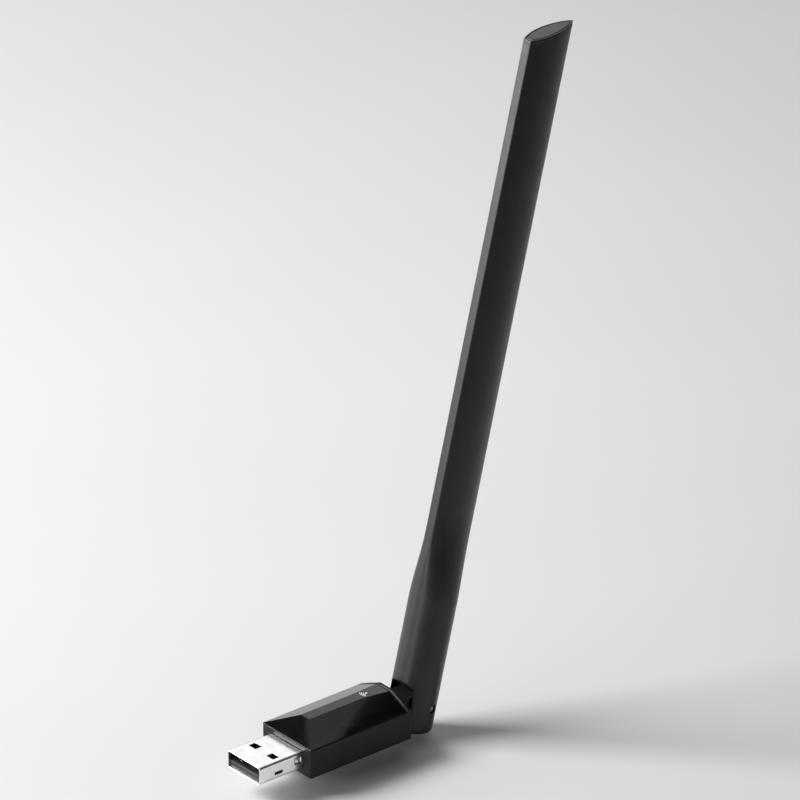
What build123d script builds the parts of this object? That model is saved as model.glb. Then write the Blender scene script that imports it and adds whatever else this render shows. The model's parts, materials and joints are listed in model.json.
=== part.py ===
from build123d import *
import math
import os

# USB wireless adapter with a hinged paddle antenna. Millimetres, +Z up.
# Origin: centre of the plug's mouth. +X runs from the plug towards the antenna.
os.makedirs("parts", exist_ok=True)

# ---- driving dimensions -------------------------------------------------------

# USB-A plug
SHELL_WIDTH = 12.0
SHELL_HEIGHT = 4.5
SHELL_CORNER = 0.6
SHELL_WALL = 0.3
SHELL_LENGTH = 18.9
PLUG_REACH = 12.9
LATCH_X = 6.2
LATCH_Y = 3.25
LATCH_LENGTH = 2.0
LATCH_WIDTH = 2.5
SIDE_SLOT_X = 5.7
SIDE_SLOT_Z = -0.7
SIDE_SLOT_LENGTH = 2.4
SIDE_SLOT_HEIGHT = 0.8
TONGUE_SETBACK = 0.5
TONGUE_THICK = 1.84
TONGUE_GAP = 0.05
CONTACT_WIDTH = 1.0
CONTACT_THICK = 0.3
CONTACT_PROUD = 0.05
CONTACT_REAR = 21.6

# Casing
CASE_FRONT = PLUG_REACH
CASE_REAR = 43.6
CASE_WIDTH = 18.0
CASE_BOTTOM = -3.9
CASE_CORNER = 0.5
CASE_WALL = 1.2
SEAM_Z = 3.65
REAR_WALL = 1.5
RIDGE_Z = 6.9
RIDGE_HALF = 1.5
RIDGE_FRONT = 18.6
RIDGE_BREAK = 35.0
RIDGE_END_Z = 6.55
COVER_WALL = 1.0
LIP_THICK = 0.7
LIP_DEPTH = 1.2
FIT_GAP = 0.05

# Circuit board
BOARD_FRONT = 19.2
BOARD_REAR = 40.2
BOARD_HALF = 7.5
BOARD_THICK = 1.0

# Hinge
PIN_X = 53.0
PIN_Z = -1.0
PIN_R = 0.9
PIN_PLAY = 0.05
PIN_INNER = 1.75
PIN_OUTER = 4.9
RECESS_R = 1.15
KNUCKLE_HALF = 3.45
NECK_TOP = 4.1
NECK_UNDER = 1.8
WASHER_R = 1.45
CABLE_SLOT = 2.0

# Antenna, measured from the pin along the antenna (height) and towards its back (x)
LEAN = 14.0
ROUND_R = 5.8
ROUND_AXIS = -1.8
SLOT_HALF = 3.95
SLOT_BACK = 2.0
SLOT_CHAMFER = 0.5
SLOT_TOP = 4.4
CHAMFER_FOOT = -5.4
CHAMFER_SLOPE = 0.82
EAR_BOTTOM = -6.2
ROOT_TOP = 7.5
ROUND_TOP = 25.4
BLADE_START = 49.0
TIP_HEIGHT = 168.7
TIP_SLANT = 19.0
BLADE_FRONT = 5.6
BLADE_REAR = 7.6
BLADE_HALF = 2.92
FACET_HALF = 1.25
SLEEVE_WALL = 1.1
CAP_THICK = 0.8
SPIGOT_DEPTH = 4.0
COAX_R = 0.565
CABLE_LIFT = 0.1

# ---- derived planes and heights ------------------------------------------------

TONGUE_TOP = -SHELL_HEIGHT / 2 + SHELL_WALL + TONGUE_THICK
CONTACT_TOP = TONGUE_TOP + CONTACT_PROUD
BOARD_TOP = CONTACT_TOP - CONTACT_THICK
CABLE_Z = BOARD_TOP + COAX_R + CABLE_LIFT
CAVITY_WIDTH = SHELL_WIDTH - 2 * SHELL_WALL
CAVITY_HEIGHT = SHELL_HEIGHT - 2 * SHELL_WALL
CASE_HALF = CASE_WIDTH / 2
CASE_FLOOR = CASE_BOTTOM + CASE_WALL
INNER_REAR = CASE_REAR - REAR_WALL

# The hinge plane has its normal across the object; the antenna plane leans back.
HINGE = Plane(origin=(PIN_X, 0, PIN_Z), x_dir=(1, 0, 0), z_dir=(0, -1, 0))
LEAN_SIN = math.sin(math.radians(LEAN))
LEAN_COS = math.cos(math.radians(LEAN))
ANTENNA = Plane(origin=(PIN_X, 0, PIN_Z), x_dir=(LEAN_COS, 0, -LEAN_SIN), z_dir=(LEAN_SIN, 0, LEAN_COS))
HINGE_LEANING = Plane(origin=ANTENNA.origin, x_dir=ANTENNA.x_dir, z_dir=(0, -1, 0))
TIP_DROP = (BLADE_REAR + ROUND_AXIS) * math.tan(math.radians(TIP_SLANT))
TOP_CUT = ANTENNA.offset(TIP_HEIGHT - TIP_DROP).rotated((0, -TIP_SLANT, 0))


# ---- antenna cross-section -------------------------------------------------------

def blade_half(x, front, rear, half, facet):
    """Half thickness of the blade at x: a lens with a narrow flat front edge."""
    if x < 0:
        return half - (half - facet) * (-x / front) ** 2.1
    return half * max(0, 1 - (x / rear) ** 2) ** 0.75


def antenna_section(height, blend, inset=0.0):
    """Face across the antenna: round at blend 0, blade at blend 1, shrunk by inset."""
    radius = ROUND_R - inset
    front = BLADE_FRONT - inset
    rear = BLADE_REAR - 1.4 * inset
    half = BLADE_HALF - inset
    facet = FACET_HALF - 0.45 * inset
    side = []
    steps = 8
    for step in range(steps + 1):
        turn = math.radians(176.5 * (1 - step / steps))
        round_x = radius * math.cos(turn)
        round_y = radius * math.sin(turn)
        share = (1 - math.cos(math.pi * step / steps)) / 2
        blade_x = -front + (front + rear) * share
        blade_y = blade_half(blade_x, front, rear, half, facet)
        x = ROUND_AXIS * (1 - blend) + round_x * (1 - blend) + (blade_x + ROUND_AXIS) * blend
        side.append((x, round_y * (1 - blend) + blade_y * blend))
    mirrored = [(x, -y) for x, y in side]
    with BuildSketch(ANTENNA.offset(height)) as section:
        with BuildLine():
            Line(mirrored[0], side[0])
            Spline(side, tangents=[(0.6, 0.8), (0, -1)])
            Spline(mirrored, tangents=[(0.6, -0.8), (0, 1)])
        make_face()
    return section.sketch


def blend_sections(inset):
    """Faces of the stretch where the round foot turns into the blade."""
    faces = []
    steps = 4
    for step in range(steps + 1):
        share = step / steps
        height = ROUND_TOP + (BLADE_START - ROUND_TOP) * share
        faces.append(antenna_section(height, share * share * (3 - 2 * share), inset))
    return faces


# ---- plug ----------------------------------------------------------------------

with BuildPart() as usb_shell:
    with BuildSketch(Plane.YZ):
        RectangleRounded(SHELL_WIDTH, SHELL_HEIGHT, SHELL_CORNER)
        RectangleRounded(CAVITY_WIDTH, CAVITY_HEIGHT, SHELL_CORNER - SHELL_WALL, mode=Mode.SUBTRACT)
    extrude(amount=SHELL_LENGTH)
    # latch windows in the top and bottom faces
    with Locations((LATCH_X, -LATCH_Y, 0), (LATCH_X, LATCH_Y, 0)):
        Box(LATCH_LENGTH, LATCH_WIDTH, SHELL_HEIGHT + 1, mode=Mode.SUBTRACT)
    # one low slot in each side face
    with Locations((SIDE_SLOT_X, 0, SIDE_SLOT_Z)):
        Box(SIDE_SLOT_LENGTH, SHELL_WIDTH + 1, SIDE_SLOT_HEIGHT, mode=Mode.SUBTRACT)
    # two solder legs that go through the circuit board's front notches
    LEG_LENGTH = 2.0
    for side in (-1, 1):
        with Locations((SHELL_LENGTH + LEG_LENGTH / 2, side * 5.85, BOARD_TOP - 0.4)):
            Box(LEG_LENGTH, SHELL_WALL, 2.4)
usb_shell.part.label = "usb_shell"
export_step(usb_shell.part, "parts/usb_shell.step")

CONTACTS = [(-3.5, 1.9), (-1.0, 2.9), (1.0, 2.9), (3.5, 1.9)]

with BuildPart() as usb_contacts:
    for y, front in CONTACTS:
        with BuildSketch(Plane.XY.offset(BOARD_TOP)):
            with Locations(((front + CONTACT_REAR) / 2, y)):
                Rectangle(CONTACT_REAR - front, CONTACT_WIDTH)
        extrude(amount=CONTACT_THICK)
usb_contacts.part.label = "usb_contacts"
export_step(usb_contacts.part, "parts/usb_contacts.step")

with BuildPart() as usb_insulator:
    # tongue in the lower half of the shell, then a block that closes the shell's back
    BLOCK_FRONT = 12.4
    BLOCK_REAR = 18.4
    with BuildSketch(Plane.XZ):
        with BuildLine():
            Polyline(
                (TONGUE_SETBACK, -CAVITY_HEIGHT / 2),
                (TONGUE_SETBACK, TONGUE_TOP - 0.3),
                (TONGUE_SETBACK + 0.6, TONGUE_TOP),
                (BLOCK_FRONT, TONGUE_TOP),
                (BLOCK_FRONT, CAVITY_HEIGHT / 2),
                (BLOCK_REAR, CAVITY_HEIGHT / 2),
                (BLOCK_REAR, -CAVITY_HEIGHT / 2),
                close=True,
            )
        make_face()
    extrude(amount=CAVITY_WIDTH / 2, both=True)
    # rounded to pass into the shell
    with BuildSketch(Plane.YZ):
        RectangleRounded(CAVITY_WIDTH - 2 * TONGUE_GAP, CAVITY_HEIGHT, SHELL_CORNER - SHELL_WALL)
    extrude(amount=SHELL_LENGTH, mode=Mode.INTERSECT)
    add(usb_contacts.part, mode=Mode.SUBTRACT)
usb_insulator.part.label = "usb_insulator"
export_step(usb_insulator.part, "parts/usb_insulator.step")

# ---- circuit board and what is soldered to it ------------------------------------

POST_SPOTS = [(22.2, -6.4), (22.2, 6.4), (38.8, -6.4), (38.8, 6.4)]
POST_R = 0.6

with BuildPart() as circuit_board:
    with BuildSketch(Plane.XY.offset(BOARD_TOP - BOARD_THICK)):
        with Locations(((BOARD_FRONT + BOARD_REAR) / 2, 0)):
            RectangleRounded(BOARD_REAR - BOARD_FRONT, 2 * BOARD_HALF, 0.6)
        with Locations(*[(BOARD_FRONT + 0.9, side * 5.85) for side in (-1, 1)]):
            Rectangle(2.0, SHELL_WALL + 0.2, mode=Mode.SUBTRACT)
        with Locations(*POST_SPOTS):
            Circle(POST_R + FIT_GAP, mode=Mode.SUBTRACT)
    extrude(amount=BOARD_THICK)
circuit_board.part.label = "circuit_board"
export_step(circuit_board.part, "parts/circuit_board.step")

CAN_X = 31.6
CAN_Y = 0.0
CAN_LENGTH = 10.0
CAN_WIDTH = 11.0
CAN_HEIGHT = 1.8
CAN_SHEET = 0.2
CHIP_X = 30.4
CHIP_SIZE = 6.0
CHIP_HEIGHT = 0.85

with BuildPart() as wifi_chip:
    with Locations((CHIP_X, 0, BOARD_TOP + CHIP_HEIGHT / 2)):
        Box(CHIP_SIZE, CHIP_SIZE, CHIP_HEIGHT)
    chamfer(wifi_chip.edges().filter_by(Axis.Z), 0.3)
wifi_chip.part.label = "wifi_chip"
export_step(wifi_chip.part, "parts/wifi_chip.step")

with BuildPart() as rf_front_end:
    with Locations((35.1, 0, BOARD_TOP + 0.3)):
        Box(1.6, 2.0, 0.6)
rf_front_end.part.label = "rf_front_end"
export_step(rf_front_end.part, "parts/rf_front_end.step")

with BuildPart() as thermal_pad:
    PAD_HEIGHT = CAN_HEIGHT - CAN_SHEET - CHIP_HEIGHT
    with Locations((CHIP_X, 0, BOARD_TOP + CHIP_HEIGHT + PAD_HEIGHT / 2)):
        Box(CHIP_SIZE, CHIP_SIZE, PAD_HEIGHT)
thermal_pad.part.label = "thermal_pad"
export_step(thermal_pad.part, "parts/thermal_pad.step")

with BuildPart() as shield_can:
    with Locations((CAN_X, CAN_Y, BOARD_TOP + CAN_HEIGHT / 2)):
        Box(CAN_LENGTH, CAN_WIDTH, CAN_HEIGHT)
    fillet(shield_can.edges().filter_by(Axis.Z), 0.5)
    offset(amount=-CAN_SHEET, openings=shield_can.faces().sort_by(Axis.Z)[0])
shield_can.part.label = "shield_can"
export_step(shield_can.part, "parts/shield_can.step")

with BuildPart() as power_inductor:
    with Locations((24.0, -5.0, BOARD_TOP + 0.75)):
        Box(2.6, 2.6, 1.5)
    chamfer(power_inductor.edges().filter_by(Axis.Z), 0.4)
power_inductor.part.label = "power_inductor"
export_step(power_inductor.part, "parts/power_inductor.step")

with BuildPart() as voltage_regulator:
    with Locations((24.2, -0.4, BOARD_TOP + 0.7)):
        Box(1.6, 2.9, 1.0)
    # five gull-wing leads, drawn as flat tabs under the body's two long sides
    for x, count in ((23.1, 3), (25.3, 2)):
        with Locations((x, -0.4, BOARD_TOP + 0.15)):
            with GridLocations(1, 1.9 / (count - 1), 1, count):
                Box(0.9, 0.4, 0.3)
voltage_regulator.part.label = "voltage_regulator"
export_step(voltage_regulator.part, "parts/voltage_regulator.step")

with BuildPart() as crystal:
    with Locations((24.2, 4.2, BOARD_TOP + 0.35)):
        Box(2.5, 3.2, 0.7)
    fillet(crystal.edges().filter_by(Axis.Z), 0.3)
crystal.part.label = "crystal"
export_step(crystal.part, "parts/crystal.step")

CAPACITOR_SPOTS = [(26.0, 6.5), (28.0, 6.5), (30.0, 6.5), (32.0, 6.5)]
CAPACITOR_SPOTS += [(29.0, -6.5), (31.0, -6.5), (22.6, 2.1)]
RESISTOR_SPOTS = [(34.0, 6.5), (33.0, -6.5), (35.0, -6.5), (27.0, -6.5)]

with BuildPart() as ceramic_capacitors:
    with Locations(*[(x, y, BOARD_TOP + 0.25) for x, y in CAPACITOR_SPOTS]):
        Box(1.0, 0.5, 0.5)
ceramic_capacitors.part.label = "ceramic_capacitors"
export_step(ceramic_capacitors.part, "parts/ceramic_capacitors.step")

with BuildPart() as chip_resistors:
    with Locations(*[(x, y, BOARD_TOP + 0.175) for x, y in RESISTOR_SPOTS]):
        Box(1.0, 0.5, 0.35)
chip_resistors.part.label = "chip_resistors"
export_step(chip_resistors.part, "parts/chip_resistors.step")

with BuildPart() as rf_filter:
    with Locations((37.7, 2.4, BOARD_TOP + 0.45)):
        Box(1.25, 2.0, 0.9)
rf_filter.part.label = "rf_filter"
export_step(rf_filter.part, "parts/rf_filter.step")

# ---- casing ----------------------------------------------------------------------

NECK_HOLE_HALF = 3.0
NECK_HOLE_LOW = -2.3
NECK_HOLE_HIGH = 1.6
FLANGE_THICK = 1.1
FLANGE_MARGIN = 0.8
ROOF_SIDE = [(-CASE_HALF, SEAM_Z), (-RIDGE_HALF, RIDGE_Z), (RIDGE_HALF, RIDGE_Z), (CASE_HALF, SEAM_Z)]

with BuildPart() as lower_casing:
    with BuildSketch(Plane.XY.offset(CASE_BOTTOM)):
        with Locations(((CASE_FRONT + CASE_REAR) / 2, 0)):
            RectangleRounded(CASE_REAR - CASE_FRONT, CASE_WIDTH, CASE_CORNER)
    extrude(amount=SEAM_Z - CASE_BOTTOM)
    # end band: the rear wall rises above the seam to the roof's outline
    with BuildSketch(Plane.YZ.offset(INNER_REAR)):
        Polygon(*ROOF_SIDE, align=None)
    extrude(amount=REAR_WALL)
    with BuildSketch(Plane.XY.offset(RIDGE_END_Z)):
        with Locations((CASE_REAR, 0)):
            Rectangle(2 * REAR_WALL + 1, CASE_WIDTH)
    extrude(amount=1, mode=Mode.SUBTRACT)
    # the tray's hollow
    with BuildSketch(Plane.XY.offset(CASE_FLOOR)):
        with Locations(((CASE_FRONT + CASE_WALL + INNER_REAR) / 2, 0)):
            Rectangle(INNER_REAR - CASE_FRONT - CASE_WALL, CASE_WIDTH - 2 * CASE_WALL)
    extrude(amount=SEAM_Z - CASE_FLOOR, mode=Mode.SUBTRACT)
    # opening for the plug shell in the front wall
    with BuildSketch(Plane.YZ.offset(CASE_FRONT - 1)):
        RectangleRounded(SHELL_WIDTH + 2 * FIT_GAP, SHELL_HEIGHT + 2 * FIT_GAP, SHELL_CORNER)
    extrude(amount=CASE_WALL + 2, mode=Mode.SUBTRACT)
    # opening for the hinge neck in the rear wall
    with BuildSketch(Plane.YZ.offset(INNER_REAR - 0.5)):
        with Locations((0, (NECK_HOLE_LOW + NECK_HOLE_HIGH) / 2)):
            Rectangle(2 * (NECK_HOLE_HALF + FIT_GAP), NECK_HOLE_HIGH - NECK_HOLE_LOW + 2 * FIT_GAP)
    extrude(amount=REAR_WALL + 1, mode=Mode.SUBTRACT)
    # four posts carry the circuit board, each with a locating peg
    BOARD_UNDER = BOARD_TOP - BOARD_THICK
    with BuildSketch(Plane.XY.offset(CASE_FLOOR)):
        with Locations(*POST_SPOTS):
            Circle(2 * POST_R)
    extrude(amount=BOARD_UNDER - CASE_FLOOR)
    with BuildSketch(Plane.XY.offset(BOARD_UNDER)):
        with Locations(*POST_SPOTS):
            Circle(POST_R)
    extrude(amount=BOARD_THICK + 0.4)
lower_casing.part.label = "lower_casing"
export_step(lower_casing.part, "parts/lower_casing.step")

with BuildPart() as top_cover:
    # faceted roof: the crosswise outline cut by the lengthwise outline
    with BuildSketch(Plane.YZ.offset(CASE_FRONT)):
        Polygon(*ROOF_SIDE, align=None)
    extrude(amount=INNER_REAR - CASE_FRONT)
    with BuildSketch(Plane.XZ):
        with BuildLine():
            Polyline(
                (CASE_FRONT, SEAM_Z),
                (RIDGE_FRONT, RIDGE_Z),
                (RIDGE_BREAK, RIDGE_Z),
                (INNER_REAR, RIDGE_END_Z),
                (INNER_REAR, SEAM_Z),
                close=True,
            )
        make_face()
    extrude(amount=CASE_WIDTH, both=True, mode=Mode.INTERSECT)
    offset(amount=-COVER_WALL, openings=top_cover.faces().sort_by(Axis.Z)[0])
    # the lip that locates the cover inside the tray
    with BuildSketch(Plane.XY.offset(SEAM_Z - LIP_DEPTH)):
        LIP_LENGTH = INNER_REAR - CASE_FRONT - CASE_WALL - 2 * FIT_GAP
        LIP_WIDTH = CASE_WIDTH - 2 * CASE_WALL - 2 * FIT_GAP
        with Locations(((CASE_FRONT + CASE_WALL + INNER_REAR) / 2, 0)):
            Rectangle(LIP_LENGTH, LIP_WIDTH)
            Rectangle(LIP_LENGTH - 2 * LIP_THICK, LIP_WIDTH - 2 * LIP_THICK, mode=Mode.SUBTRACT)
    extrude(amount=LIP_DEPTH)
top_cover.part.label = "top_cover"
export_step(top_cover.part, "parts/top_cover.step")

# ---- hinge -----------------------------------------------------------------------

with BuildPart() as hinge_knuckle:
    NECK_START = CASE_REAR - PIN_X
    KNUCKLE_BACK = NECK_UNDER
    CORNER_RISE = math.sqrt(NECK_TOP ** 2 - KNUCKLE_BACK ** 2)
    CORNER_TURN = (math.pi / 2 + math.atan2(CORNER_RISE, KNUCKLE_BACK)) / 2
    with BuildSketch(HINGE):
        with BuildLine():
            Line((NECK_START, NECK_TOP), (0, NECK_TOP))
            ThreePointArc(
                (0, NECK_TOP),
                (NECK_TOP * math.cos(CORNER_TURN), NECK_TOP * math.sin(CORNER_TURN)),
                (KNUCKLE_BACK, CORNER_RISE),
            )
            Line((KNUCKLE_BACK, CORNER_RISE), (KNUCKLE_BACK, 0))
            ThreePointArc(
                (KNUCKLE_BACK, 0),
                (KNUCKLE_BACK * math.sqrt(0.5), -KNUCKLE_BACK * math.sqrt(0.5)),
                (0, -KNUCKLE_BACK),
            )
            Line((0, -KNUCKLE_BACK), (NECK_START, -NECK_UNDER))
            Line((NECK_START, -NECK_UNDER), (NECK_START, NECK_TOP))
        make_face()
    extrude(amount=KNUCKLE_HALF, both=True)
    # the stem through the casing's rear wall, and the flange that holds it inside
    with BuildSketch(Plane.YZ.offset(CASE_REAR)):
        with Locations((0, (NECK_HOLE_LOW + NECK_HOLE_HIGH) / 2)):
            Rectangle(2 * NECK_HOLE_HALF, NECK_HOLE_HIGH - NECK_HOLE_LOW)
    extrude(amount=-REAR_WALL)
    with BuildSketch(Plane.YZ.offset(INNER_REAR)):
        with Locations((0, (NECK_HOLE_LOW + NECK_HOLE_HIGH + FLANGE_MARGIN) / 2)):
            Rectangle(2 * (NECK_HOLE_HALF + FLANGE_MARGIN), NECK_HOLE_HIGH - NECK_HOLE_LOW + FLANGE_MARGIN)
    extrude(amount=-FLANGE_THICK)
    # the cable's channel, open at the top and back of the knuckle
    with BuildSketch(Plane.XZ):
        with BuildLine():
            Polyline(
                (INNER_REAR - FLANGE_THICK - 1, CABLE_Z - 1),
                (PIN_X - 3, CABLE_Z - 1),
                (PIN_X - 2, PIN_Z - 0.8),
                (PIN_X + 5, PIN_Z - 0.8),
                (PIN_X + 5, PIN_Z + NECK_TOP + 1),
                (PIN_X - 2.4, PIN_Z + NECK_TOP + 1),
                (PIN_X - 2.4, CABLE_Z + 1),
                (INNER_REAR - FLANGE_THICK - 1, CABLE_Z + 1),
                close=True,
            )
        make_face()
    extrude(amount=CABLE_SLOT / 2, both=True, mode=Mode.SUBTRACT)
    # the pins' bore
    with BuildSketch(HINGE):
        Circle(PIN_R + PIN_PLAY)
    extrude(amount=KNUCKLE_HALF + 1, both=True, mode=Mode.SUBTRACT)
hinge_knuckle.part.label = "hinge_knuckle"
export_step(hinge_knuckle.part, "parts/hinge_knuckle.step")

with BuildPart() as hinge_pins:
    for side in (-1, 1):
        with BuildSketch(HINGE.offset(side * PIN_INNER)):
            Circle(PIN_R)
        extrude(amount=side * (PIN_OUTER - PIN_INNER))
hinge_pins.part.label = "hinge_pins"
export_step(hinge_pins.part, "parts/hinge_pins.step")

with BuildPart() as friction_washers:
    WASHER_THICK = SLOT_HALF - KNUCKLE_HALF - PIN_PLAY
    for side in (-1, 1):
        with BuildSketch(HINGE.offset(side * SLOT_HALF)):
            Circle(WASHER_R)
            Circle(PIN_R + PIN_PLAY, mode=Mode.SUBTRACT)
        extrude(amount=-side * WASHER_THICK)
friction_washers.part.label = "friction_washers"
export_step(friction_washers.part, "parts/friction_washers.step")

# ---- antenna ---------------------------------------------------------------------

OVERRUN = 6.0
blade_rise = TIP_HEIGHT + OVERRUN - BLADE_START
outer_blend = blend_sections(0.0)
inner_blend = blend_sections(SLEEVE_WALL)

with BuildPart() as cap_plate:
    extrude(antenna_section(BLADE_START, 1.0), amount=blade_rise)
    split(bisect_by=TOP_CUT, keep=Keep.BOTTOM)
    split(bisect_by=TOP_CUT.offset(-CAP_THICK), keep=Keep.TOP)

with BuildPart() as antenna_sleeve:
    extrude(antenna_section(EAR_BOTTOM, 0.0), amount=ROUND_TOP - EAR_BOTTOM)
    loft(sections=outer_blend)
    extrude(antenna_section(BLADE_START, 1.0), amount=blade_rise)
    split(bisect_by=TOP_CUT.offset(-CAP_THICK), keep=Keep.BOTTOM)
    # hollow above the solid root
    extrude(antenna_section(ROOT_TOP, 0.0, SLEEVE_WALL), amount=ROUND_TOP - ROOT_TOP, mode=Mode.SUBTRACT)
    loft(sections=inner_blend, mode=Mode.SUBTRACT)
    extrude(antenna_section(BLADE_START, 1.0, SLEEVE_WALL), amount=blade_rise, mode=Mode.SUBTRACT)
    # fork slot: open at the front and below, closed by a wall at the back
    SLOT_FRONT = -9.0
    with BuildSketch(ANTENNA.offset(EAR_BOTTOM - 1)):
        with BuildLine():
            Polyline(
                (SLOT_FRONT, -SLOT_HALF),
                (SLOT_BACK - SLOT_CHAMFER, -SLOT_HALF),
                (SLOT_BACK, SLOT_CHAMFER - SLOT_HALF),
                (SLOT_BACK, SLOT_HALF - SLOT_CHAMFER),
                (SLOT_BACK - SLOT_CHAMFER, SLOT_HALF),
                (SLOT_FRONT, SLOT_HALF),
                close=True,
            )
        make_face()
    extrude(amount=SLOT_TOP - EAR_BOTTOM + 1, mode=Mode.SUBTRACT)
    # its top edge is chamfered at the front
    with BuildSketch(HINGE_LEANING):
        with BuildLine():
            Polyline(
                (CHAMFER_FOOT, SLOT_TOP),
                (CHAMFER_FOOT - 3.0, SLOT_TOP + 3.0 * CHAMFER_SLOPE),
                (CHAMFER_FOOT - 3.0, SLOT_TOP - 1.0),
                (CHAMFER_FOOT, SLOT_TOP - 1.0),
                close=True,
            )
        make_face()
    extrude(amount=SLOT_HALF, both=True, mode=Mode.SUBTRACT)
    # pin holes in the ears, each with a wider recess outside
    with BuildSketch(HINGE):
        Circle(PIN_R)
    extrude(amount=ROUND_R + 1, both=True, mode=Mode.SUBTRACT)
    for side in (-1, 1):
        with BuildSketch(HINGE.offset(side * PIN_OUTER)):
            Circle(RECESS_R)
        extrude(amount=side * 2, mode=Mode.SUBTRACT)
    # cable hole through the root; its line is where the cable leaves the bend
    BEND_R = 1.6
    BEND_START = PIN_X - 1.5
    BEND_TURN = math.radians(90 - LEAN)
    bend_end_x = BEND_START + BEND_R * math.sin(BEND_TURN)
    bend_end_z = CABLE_Z + BEND_R * (1 - math.cos(BEND_TURN))
    cable_foot = ANTENNA.to_local_coords(Vector(bend_end_x, 0, bend_end_z))
    with BuildSketch(ANTENNA):
        with Locations((cable_foot.X, 0)):
            Circle(COAX_R + 0.3)
    extrude(amount=ROOT_TOP + 1, mode=Mode.SUBTRACT)
antenna_sleeve.part.label = "antenna_sleeve"
export_step(antenna_sleeve.part, "parts/antenna_sleeve.step")

with BuildPart() as spigot:
    extrude(antenna_section(BLADE_START, 1.0, SLEEVE_WALL + FIT_GAP), amount=blade_rise)
    split(bisect_by=TOP_CUT.offset(-CAP_THICK), keep=Keep.BOTTOM)
    split(bisect_by=TOP_CUT.offset(-CAP_THICK - SPIGOT_DEPTH), keep=Keep.TOP)

with BuildPart() as antenna_tip_cap:
    add(cap_plate.part)
    add(spigot.part)
antenna_tip_cap.part.label = "antenna_tip_cap"
export_step(antenna_tip_cap.part, "parts/antenna_tip_cap.step")

ELEMENT_BOARD_FRONT = -5.0
ELEMENT_BOARD_REAR = 3.0
ELEMENT_BOARD_BOTTOM = 58.0
ELEMENT_BOARD_TOP = 155.0
ELEMENT_BOARD_HALF = 0.4
NOTCH_HEIGHT = 3.0
FOIL_THICK = 0.1

with BuildPart() as antenna_board:
    with BuildSketch(HINGE_LEANING):
        element_board_width = ELEMENT_BOARD_REAR - ELEMENT_BOARD_FRONT
        element_board_length = ELEMENT_BOARD_TOP - ELEMENT_BOARD_BOTTOM
        element_board_x = (ELEMENT_BOARD_FRONT + ELEMENT_BOARD_REAR) / 2
        with Locations((element_board_x, (ELEMENT_BOARD_BOTTOM + ELEMENT_BOARD_TOP) / 2)):
            RectangleRounded(element_board_width, element_board_length, 0.5)
        with Locations((cable_foot.X, ELEMENT_BOARD_BOTTOM + NOTCH_HEIGHT / 2)):
            Rectangle(2 * COAX_R + 0.1, NOTCH_HEIGHT, mode=Mode.SUBTRACT)
    extrude(amount=ELEMENT_BOARD_HALF, both=True)
antenna_board.part.label = "antenna_board"
export_step(antenna_board.part, "parts/antenna_board.step")

# printed arms: centre x, centre height, width, length
FOILS = [(-3.6, 72.0, 1.8, 24.0), (1.9, 72.0, 1.8, 24.0)]
FOILS += [(-0.85, 95.0, 2.4, 20.0), (-0.85, 130.0, 5.0, 40.0)]

with BuildPart() as antenna_elements:
    with BuildSketch(HINGE_LEANING.offset(ELEMENT_BOARD_HALF)):
        for x, height, width, length in FOILS:
            with Locations((x, height)):
                Rectangle(width, length)
    extrude(amount=FOIL_THICK)
antenna_elements.part.label = "antenna_elements"
export_step(antenna_elements.part, "parts/antenna_elements.step")

# ---- antenna cable ------------------------------------------------------------------

CABLE_START = 38.4

with BuildPart() as coax_body:
    with BuildSketch(Plane.YZ.offset(CABLE_START)):
        with Locations((0, CABLE_Z)):
            Circle(COAX_R)
    extrude(amount=BEND_START - CABLE_START)
coax_body.part.label = "coax_body"
export_step(coax_body.part, "parts/coax_body.step")

with BuildPart() as coax_clip:
    # soldered saddle that grips the cable's braid on the circuit board
    with BuildSketch(Plane.YZ.offset(CABLE_START)):
        with Locations((0, CABLE_Z)):
            Circle(COAX_R + 0.3)
        with Locations((0, BOARD_TOP + 0.15)):
            Rectangle(3.0, 0.3)
        with Locations((0, BOARD_TOP - 0.5)):
            Rectangle(4.0, 1.0, mode=Mode.SUBTRACT)
        with Locations((0, CABLE_Z)):
            Circle(COAX_R, mode=Mode.SUBTRACT)
    extrude(amount=1.6)
coax_clip.part.label = "coax_clip"
export_step(coax_clip.part, "parts/coax_clip.step")

with BuildPart() as coax_flex:
    # the short stretch that bends as the hinge turns
    with BuildLine():
        bend = CenterArc((0, 0, 0), BEND_R, -90, 90 - LEAN)
    bend_path = Plane(origin=(BEND_START, 0, CABLE_Z + BEND_R), x_dir=(1, 0, 0), z_dir=(0, -1, 0)) * bend
    with BuildSketch(Plane.YZ.offset(BEND_START)):
        with Locations((0, CABLE_Z)):
            Circle(COAX_R)
    sweep(path=bend_path)
coax_flex.part.label = "coax_flex"
export_step(coax_flex.part, "parts/coax_flex.step")

with BuildPart() as coax_antenna:
    with BuildSketch(ANTENNA.offset(cable_foot.Z)):
        with Locations((cable_foot.X, 0)):
            Circle(COAX_R)
    extrude(amount=ELEMENT_BOARD_BOTTOM + NOTCH_HEIGHT - cable_foot.Z)
coax_antenna.part.label = "coax_antenna"
export_step(coax_antenna.part, "parts/coax_antenna.step")
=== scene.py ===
"""USB wireless adapter: the looks, stage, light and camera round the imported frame.

Sizes are in millimetres until a mesh is made, and the frame is in metres.
"""

import json
import math

import bmesh
import bpy
from mathutils import Matrix, Vector


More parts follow.
